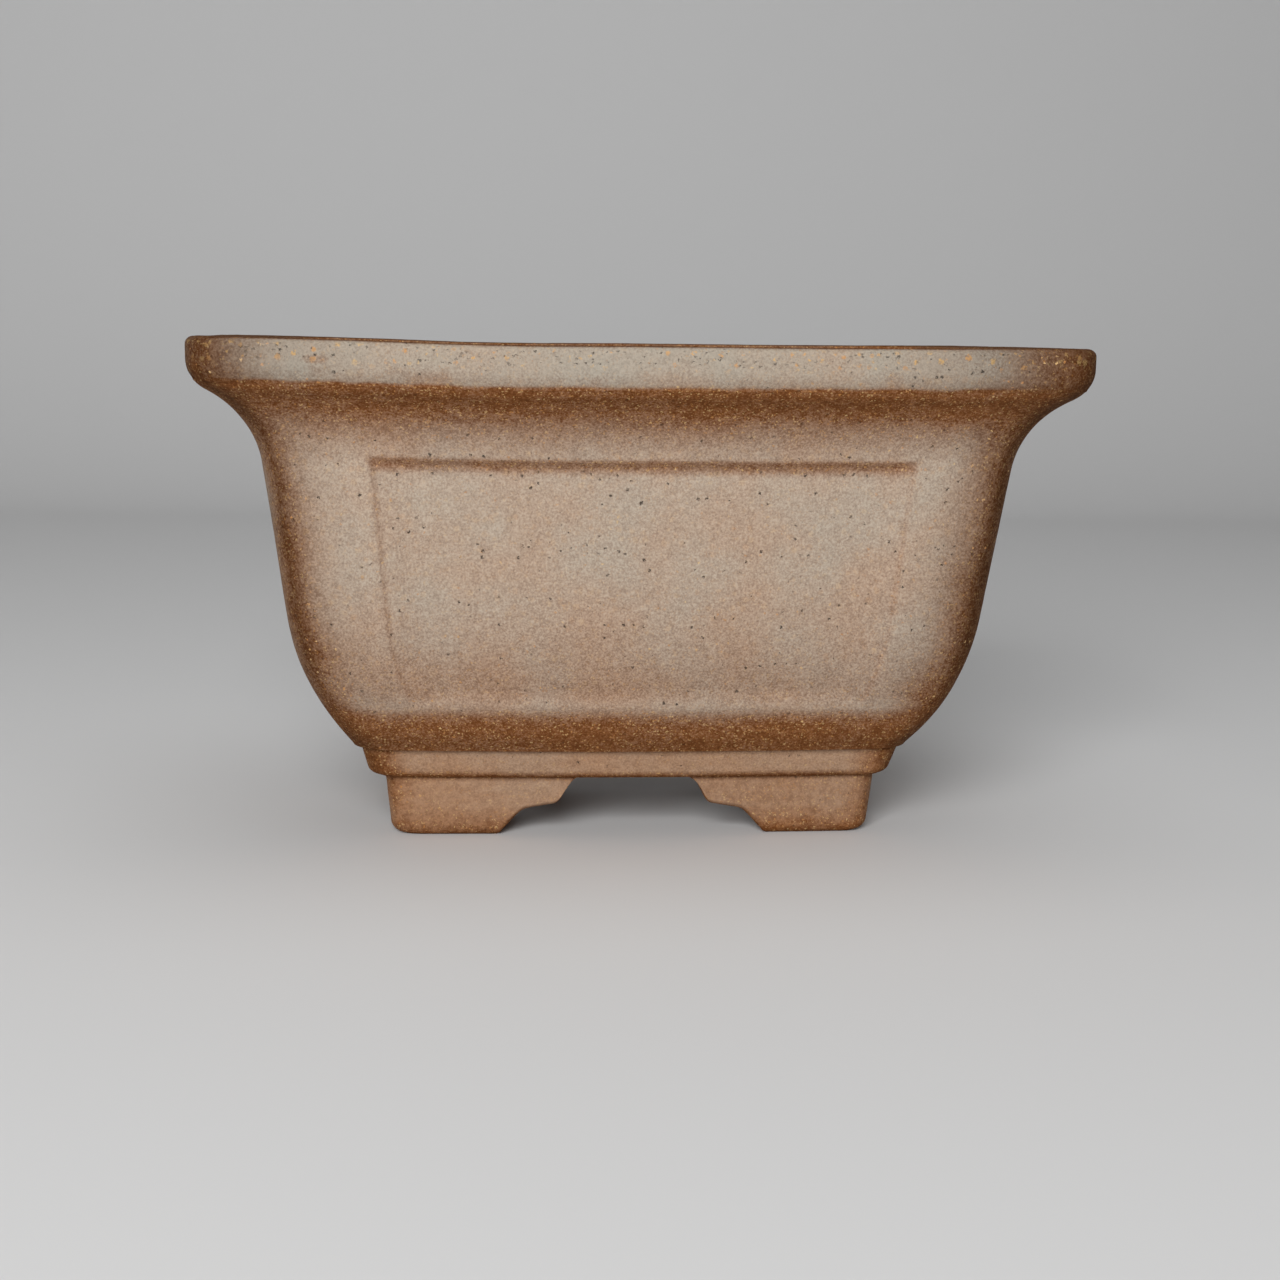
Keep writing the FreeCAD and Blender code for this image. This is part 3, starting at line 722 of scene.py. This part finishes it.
def rim_marks(points, normals):
    """Painted sheen on the face, brown painted shade at the corners and inside, a darker top without
    sheen, stains low on the face, chips below the upper edge.
    """
    z = points[..., 2]
    out = outward(points, normals)
    top = smooth(0.86, 0.98, normals[..., 2])
    gap = from_corner(points, normals, 0) + 2.5 * MM * noise(points, 16 * MM, 15)
    # Painted shade: less sheen and less light towards the corners, over a wider band on the right.
    corner = smooth(4 * MM, by_side(points, 32 * MM, 60 * MM), gap)
    light = by_side(points, table(gap, RIM_PAINTED_LIGHT_LEFT), table(gap, RIM_PAINTED_LIGHT_RIGHT))
    face = rim_painted_sheen(points)
    smear = ellipse(points, (-107 * MM, 171 * MM), (4.5 * MM, 1.5 * MM)) * (points[..., 1] < 0)
    stain = smooth(0.1, 0.8, noise(points, 8 * MM, 31))
    stain = stain * smooth(RIM_SEAT + 9 * MM, RIM_SEAT + 4 * MM, z)
    # The top and the inside get no painted sheen; painted shade falls at the face's corners, and the
    # top is darkened as well.
    tone = face * (0.02 + 0.98 * corner) * (1 - top) * out - 0.3 * smear - 0.3 * stain * face
    dark = (1 - light) * (1 - top) * out + 0.45 * top
    wear = smooth(TOP - 9 * MM, TOP - 5 * MM, z) * smooth(TOP - 0.8 * MM, TOP - 2 * MM, z)
    return {"tone": tone, "dark": dark, "wear": 0.12 + 0.88 * wear}


def low_marks(points, normals):
    """Foot band and feet: painted sheen on the bands, brown painted shade in the creases, at the
    corners and inside.
    """
    z = points[..., 2]
    gap = from_corner(points, normals, 57 * MM)
    corner = smooth(2 * MM, 19 * MM, gap + 2 * MM * noise(points, 9 * MM, 17))
    streaks = noise(points * (0.25, 0.25, 1), 2.2 * MM, 19)
    # The right-hand feet get less painted sheen, as painted shade.
    level = table(z, LOW_PAINTED_SHEEN) - by_side(points, 0, 0.15) * smooth(24 * MM, 20 * MM, z)
    tone = np.clip(level * (0.06 + 0.94 * corner) + 0.07 * streaks, 0, 1)
    # Painted shade at the upright corners.
    dark = 0.35 * smooth(10 * MM, 1 * MM, gap)
    # Inside the pot there is no painted sheen: the raw brown stands for the shade there.
    out = outward(points, normals)
    return {"tone": tone * out, "dark": dark * out, "wear": 0.05 + 0 * tone}


# ---- the pieces -------------------------------------------------------------------------------


def stations(middle, bend):
    """Evenly spread positions along half a side and round half a corner."""
    return np.linspace(0, 1, middle), np.linspace(0, 1, bend)


def make_walls():
    """Four walls with their sunk panels, from the foot band up to the rim."""
    along, around = stations(130, 13)
    names = [side + "_wall" for side in SIDES]
    loop = wall_loop()
    rim_joint = len(wall_outside()) - 1
    mouth = row_at(loop, MOUTH, RIM_SEAT)
    ring_pieces(names, loop, BODY_CORNER, along, around, "wall_clay", wall_marks, sink_panels,
                joints=((0, 1), (rim_joint, -1), (mouth, 1)))


def make_rim():
    """Four rim strips."""
    along, around = stations(140, 13)
    names = ["rim_" + side for side in SIDES]
    loop = rim_loop()
    ring_pieces(names, loop, BODY_CORNER, along, around, "rim_clay", rim_marks,
                joints=((0, 1), (row_at(loop, MOUTH, RIM_SEAT), -1)))


def make_band():
    """Four strips of the foot band, drawn in towards the feet."""
    along, around = stations(100, 11)
    rounds = (3 * MM, 0.8 * MM, 0.4 * MM, 0.4 * MM)
    loop = rounded_box(0, BAND_DEPTH, FOOT_TOP, BAND_TOP, rounds, 0.9 * MM)
    fallen = (BAND_TOP - loop[:, 1]) / (BAND_TOP - FOOT_TOP)
    loop[:, 0] += BAND_INSET + BAND_DRAW * fallen * (1 - loop[:, 0] / BAND_DEPTH)
    names = ["band_" + side for side in SIDES]
    ring_pieces(names, loop, BAND_CORNER, along, around, "band_clay", low_marks)


# Corners of a bracket's outline: how far it has come from the sole towards the gap between the
# feet, and how far its underside has risen, both as shares.

BRACKET = ((0, 0), (0.29, 0.40), (0.77, 0.51), (0.88, 0.84), (1, 1))
HIGHEST_UNDERSIDE = 0.985
GAP = {"long": 20 * MM, "short": 8 * MM}
REACH = {"long": 28 * MM, "short": 13 * MM}


def bracket(share):
    """Height of a bracket's underside as a share, with the corners of its outline rounded."""
    fine = np.linspace(-0.1, 1.1, 481)
    line = np.interp(fine, *zip(*BRACKET))
    window = np.hanning(91)
    rounded = np.convolve(np.pad(line, len(window) // 2, "edge"), window / window.sum(), "valid")
    rounded = rounded * smooth(-0.02, 0.05, fine)
    return np.interp(share, fine, rounded)


def foot_columns():
    """Stations round one foot: (kind, position, height of the underside as a share).

    The position runs from 0 to 1 along a bracket, its sole, or the corner.
    """
    columns = []
    for kind in ("long", "short"):
        steps = np.linspace(0, 1, 46)
        side = [(kind + "_bracket", step, bracket(1 - step)) for step in steps]
        side += [(kind + "_sole", step, 0.0) for step in np.linspace(0, 1, 24)[1:]]
        columns += side if kind == "long" else side[::-1]
        if kind == "long":
            columns += [("corner", share, 0.0) for share in np.linspace(0, 1, 18)[1:-1]]
    return [(kind, place, min(max(rise, 0.0), HIGHEST_UNDERSIDE)) for kind, place, rise in columns]


def foot_point(kind, place, inset, deep):
    """Plan points of one column of the foot at +X, -Y.

    GAP is half the opening between two feet, REACH a bracket's length; deep runs from 0 outside
    to 1 inside.
    """
    a, b = RIM_HALF_LENGTH - inset, RIM_HALF_WIDTH - inset
    r = BAND_CORNER * (1 - deep / 2)
    cx, cy, start, _, end = corner_of(a, b, r)
    if kind == "corner":
        turn = start + place * (end - start)
        return cx + r * np.cos(turn), cy + r * np.sin(turn)
    side, part = kind.split("_")
    last = BOW * np.cos(start) if side == "long" else -BOW * np.sin(end)
    if part == "bracket":
        along = GAP[side] + REACH[side] * place + 0 * last
    else:
        first = GAP[side] + REACH[side]
        along = first + place * (last - first)
    if side == "long":
        return along, BOW - b - np.sqrt(BOW ** 2 - along ** 2)
    return a - BOW + np.sqrt(BOW ** 2 - along ** 2), -along


def foot_grid():
    """Grid of points on the foot at +X, -Y: [column, loop, xyz]."""
    rounds = (4.5 * MM, 0.5 * MM, 0.4 * MM, 1.2 * MM)
    loop = rounded_box(0, FOOT_DEPTH, 0, FOOT_TOP, rounds, 0.8 * MM)
    deep = loop[:, 0] / FOOT_DEPTH
    grid = []
    for kind, place, rise in foot_columns():
        height = rise * FOOT_TOP + loop[:, 1] * (1 - rise)
        inset = FOOT_INSET + FOOT_DRAW * (1 - height / FOOT_TOP) * (1 - deep) + loop[:, 0]
        x, y = foot_point(kind, place, inset, deep)
        grid.append(np.stack([x, y, height], -1))
    return np.array(grid)


def make_feet():
    """Four corner feet: one shape, turned over for each corner."""
    base = foot_grid()
    for row, flip_y in (("front", 1), ("back", -1)):
        for side, flip_x in (("left", -1), ("right", 1)):
            grid = base * (flip_x, flip_y, 1)
            if flip_x * flip_y < 0:
                grid = grid[::-1]
            normals = open_normals(grid)
            moved = roughen(grid, normals)
            name = f"foot_{row}_{side}"
            piece = grid_piece("clay_" + name, moved, open_normals(moved), low_marks(grid, normals))
            declare(piece, name, "foot_clay")


make_walls()
make_rim()
make_band()
make_feet()
floor_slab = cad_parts["floor_slab"]
floor_slab.data.materials.clear()
floor_slab.data.materials.append(MATERIALS["floor_clay"])


# ---- stage, light and camera ------------------------------------------------------------------


def plain(name, colour, roughness):
    """Material of one colour."""
    material = bpy.data.materials.new(name)
    nodes = Nodes(material)
    shader = nodes.add("BsdfPrincipled", {"Base Color": colour, "Roughness": roughness})
    nodes.add("OutputMaterial", {"Surface": shader.outputs[0]})
    return material


def make_stage():
    """Pale floor that curves up into a pale backdrop."""
    turns = np.linspace(0, math.pi / 2, 24)
    bend = [(1.2 + 0.5 * math.sin(turn), 0.5 - 0.5 * math.cos(turn)) for turn in turns]
    line = [(-3.0, 0.0)] + bend + [(1.7, 3.0)]
    points = [(x, y, z) for y, z in line for x in (-4.0, 4.0)]
    faces = [(2 * i, 2 * i + 1, 2 * i + 3, 2 * i + 2) for i in range(len(line) - 1)]
    mesh = bpy.data.meshes.new("floor")
    mesh.from_pydata(points, [], faces)
    mesh.polygons.foreach_set("use_smooth", [True] * len(faces))
    floor = bpy.data.objects.new("floor", mesh)
    bpy.context.scene.collection.objects.link(floor)
    floor.data.materials.append(plain("pale_floor", (0.64, 0.64, 0.64, 1), 0.9))


def add_light(name, place, target, size, power):
    """White rectangular lamp that faces its target."""
    data = bpy.data.lights.new(name, "AREA")
    data.shape = "RECTANGLE"
    data.size, data.size_y = size
    data.energy = power
    light = bpy.data.objects.new(name, data)
    light.location = place
    light.rotation_euler = (Vector(target) - Vector(place)).to_track_quat("-Z", "Y").to_euler()
    bpy.context.scene.collection.objects.link(light)


def make_lights():
    """Large window at the left front, soft ceiling light and a dim room."""
    add_light("window", (-0.5, -2.0, 0.95), (0, 0, 0.09), (1.1, 0.9), 53)
    add_light("ceiling", (0.1, -0.2, 2.2), (0, 0, 0.1), (2.0, 2.0), 12)
    world = bpy.data.worlds.new("soft_room")
    world.use_nodes = True
    background = world.node_tree.nodes["Background"]
    background.inputs["Color"].default_value = (0.95, 0.95, 0.95, 1)
    background.inputs["Strength"].default_value = 0.12
    bpy.context.scene.world = world


def make_camera():
    """At the photographer's place: a little to the left, lens just above the rim."""
    turn, tilt, roll = math.radians(5.17), math.radians(8.76), math.radians(0.88)
    distance, aside, height = 0.7397, 0.0061, 0.1793
    right = Vector((math.cos(turn), -math.sin(turn), 0))
    level = Vector((math.sin(turn), math.cos(turn), 0))
    forward = level * math.cos(tilt) - Vector((0, 0, math.sin(tilt)))
    upward = level * math.sin(tilt) + Vector((0, 0, math.cos(tilt)))
    across = right * math.cos(roll) + upward * math.sin(roll)
    upright = upward * math.cos(roll) - right * math.sin(roll)
    place = right * aside - level * distance + Vector((0, 0, height))
    data = bpy.data.cameras.new("camera")
    data.sensor_width = 36
    data.lens = 55.69
    data.clip_start = 0.01
    camera = bpy.data.objects.new("camera", data)
    columns = Matrix((across, upright, -forward)).transposed()
    camera.matrix_world = Matrix.Translation(place) @ columns.to_4x4()
    bpy.context.scene.collection.objects.link(camera)
    bpy.context.scene.camera = camera


make_stage()
make_lights()
make_camera()
bpy.context.scene.view_settings.view_transform = "Standard"
